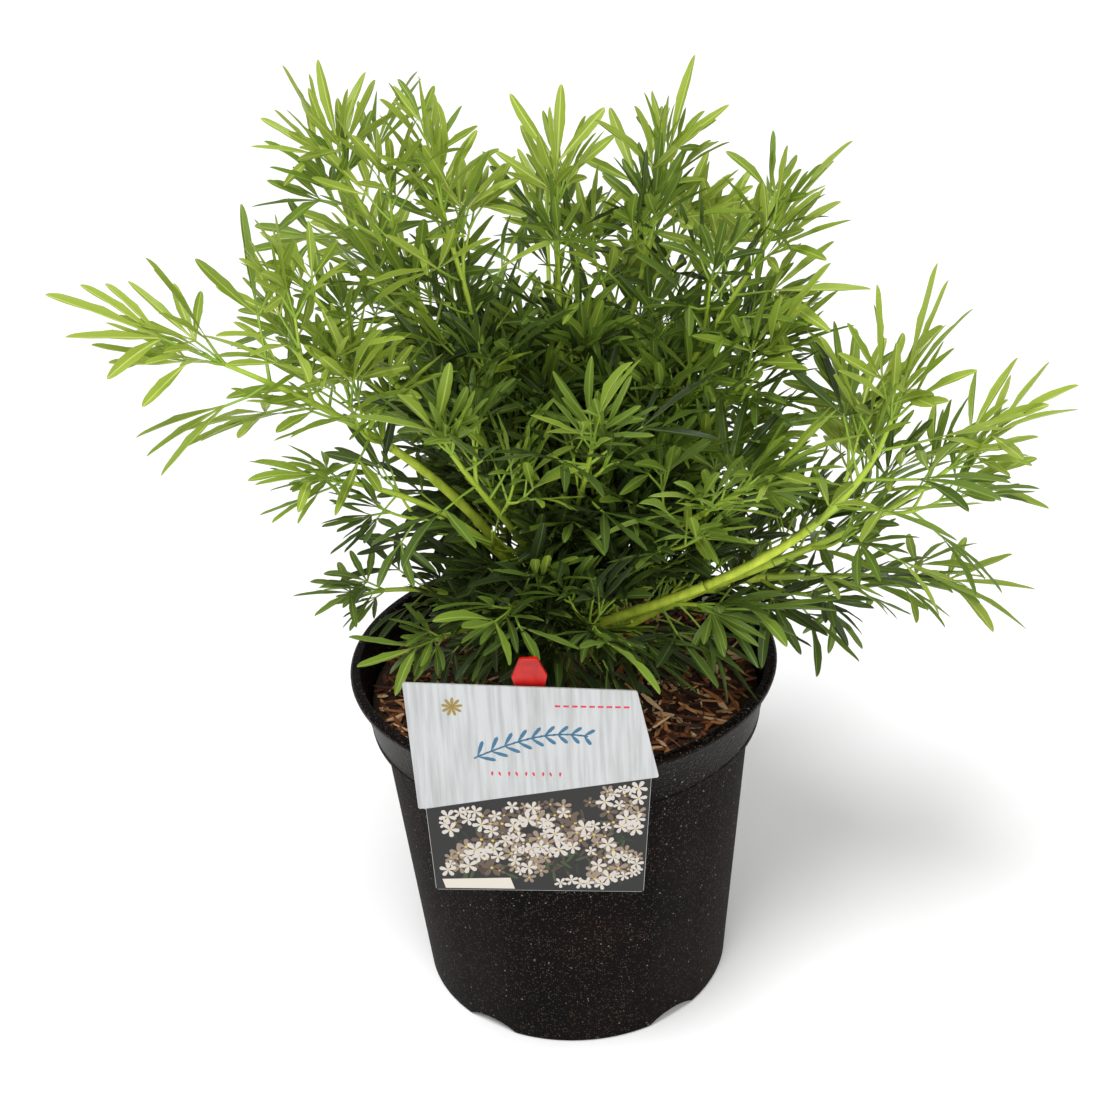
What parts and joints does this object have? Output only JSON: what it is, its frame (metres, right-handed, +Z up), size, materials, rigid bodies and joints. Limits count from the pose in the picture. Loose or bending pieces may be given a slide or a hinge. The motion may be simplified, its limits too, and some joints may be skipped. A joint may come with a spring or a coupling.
{
  "type": "potted shrub",
  "caption": "Young evergreen Mexican orange blossom shrub with narrow fingered leaves, in a round black nursery pot filled with bark compost, with a plain card label on a peg",
  "frame": {"origin": "centre of the pot's flat underside", "axes": "+Z up along the pot, -Y towards the side that carries the label, +X to the right seen from that side"},
  "size_m": [0.4045, 0.2681, 0.426],
  "materials": {
    "pot": "satin black with fine specks",
    "soil": "matt bark chips and fibre",
    "bark": "matt, finely ridged",
    "bough": "smooth young bark",
    "leaf": "soft sheen",
    "label": "printed card",
    "peg": "gloss red"
  },
  "bodies": {
    "root": {"bough_back_high_1": "bough", "bough_back_high_2": "bough", "bough_back_high_3": "bough", "bough_back_low_1": "bough", "bough_back_low_2": "bough", "bough_front_high": "bough", "bough_front_left": "bough", "bough_front_low": "bough", "bough_front_right_low": "bough", "bough_left_arm": "bough", "bough_left_high": "bough", "bough_left_low": "bough", "bough_left_rim": "bough", "bough_left_skirt": "bough", "bough_right_arm_1": "bough", "bough_right_arm_2": "bough", "bough_right_far": "bough", "bough_right_front": "bough", "bough_right_high": "bough", "bough_right_low": "bough", "bough_right_shoulder": "bough", "bough_right_skirt": "bough", "bough_top_leader": "bough", "bough_top_left": "bough", "bough_top_middle": "bough", "bough_top_right": "bough", "foliage_back_high_1": "leaf", "foliage_back_high_2": "leaf", "foliage_back_high_3": "leaf", "foliage_back_low_1": "leaf", "foliage_back_low_2": "leaf", "foliage_front_high": "leaf", "foliage_front_left": "leaf", "foliage_front_low": "leaf", "foliage_front_right_low": "leaf", "foliage_left_arm": "leaf", "foliage_left_high": "leaf", "foliage_left_low": "leaf", "foliage_left_rim": "leaf", "foliage_left_skirt": "leaf", "foliage_right_arm": "leaf", "foliage_right_far": "leaf", "foliage_right_front": "leaf", "foliage_right_high": "leaf", "foliage_right_low": "leaf", "foliage_right_shoulder": "leaf", "foliage_right_skirt": "leaf", "foliage_top_leader": "leaf", "foliage_top_left": "leaf", "foliage_top_middle": "leaf", "foliage_top_right": "leaf", "label": "label", "label_peg": "peg", "pot": "pot", "soil": "soil", "trunk": "bark"}
  },
  "joints": []
}
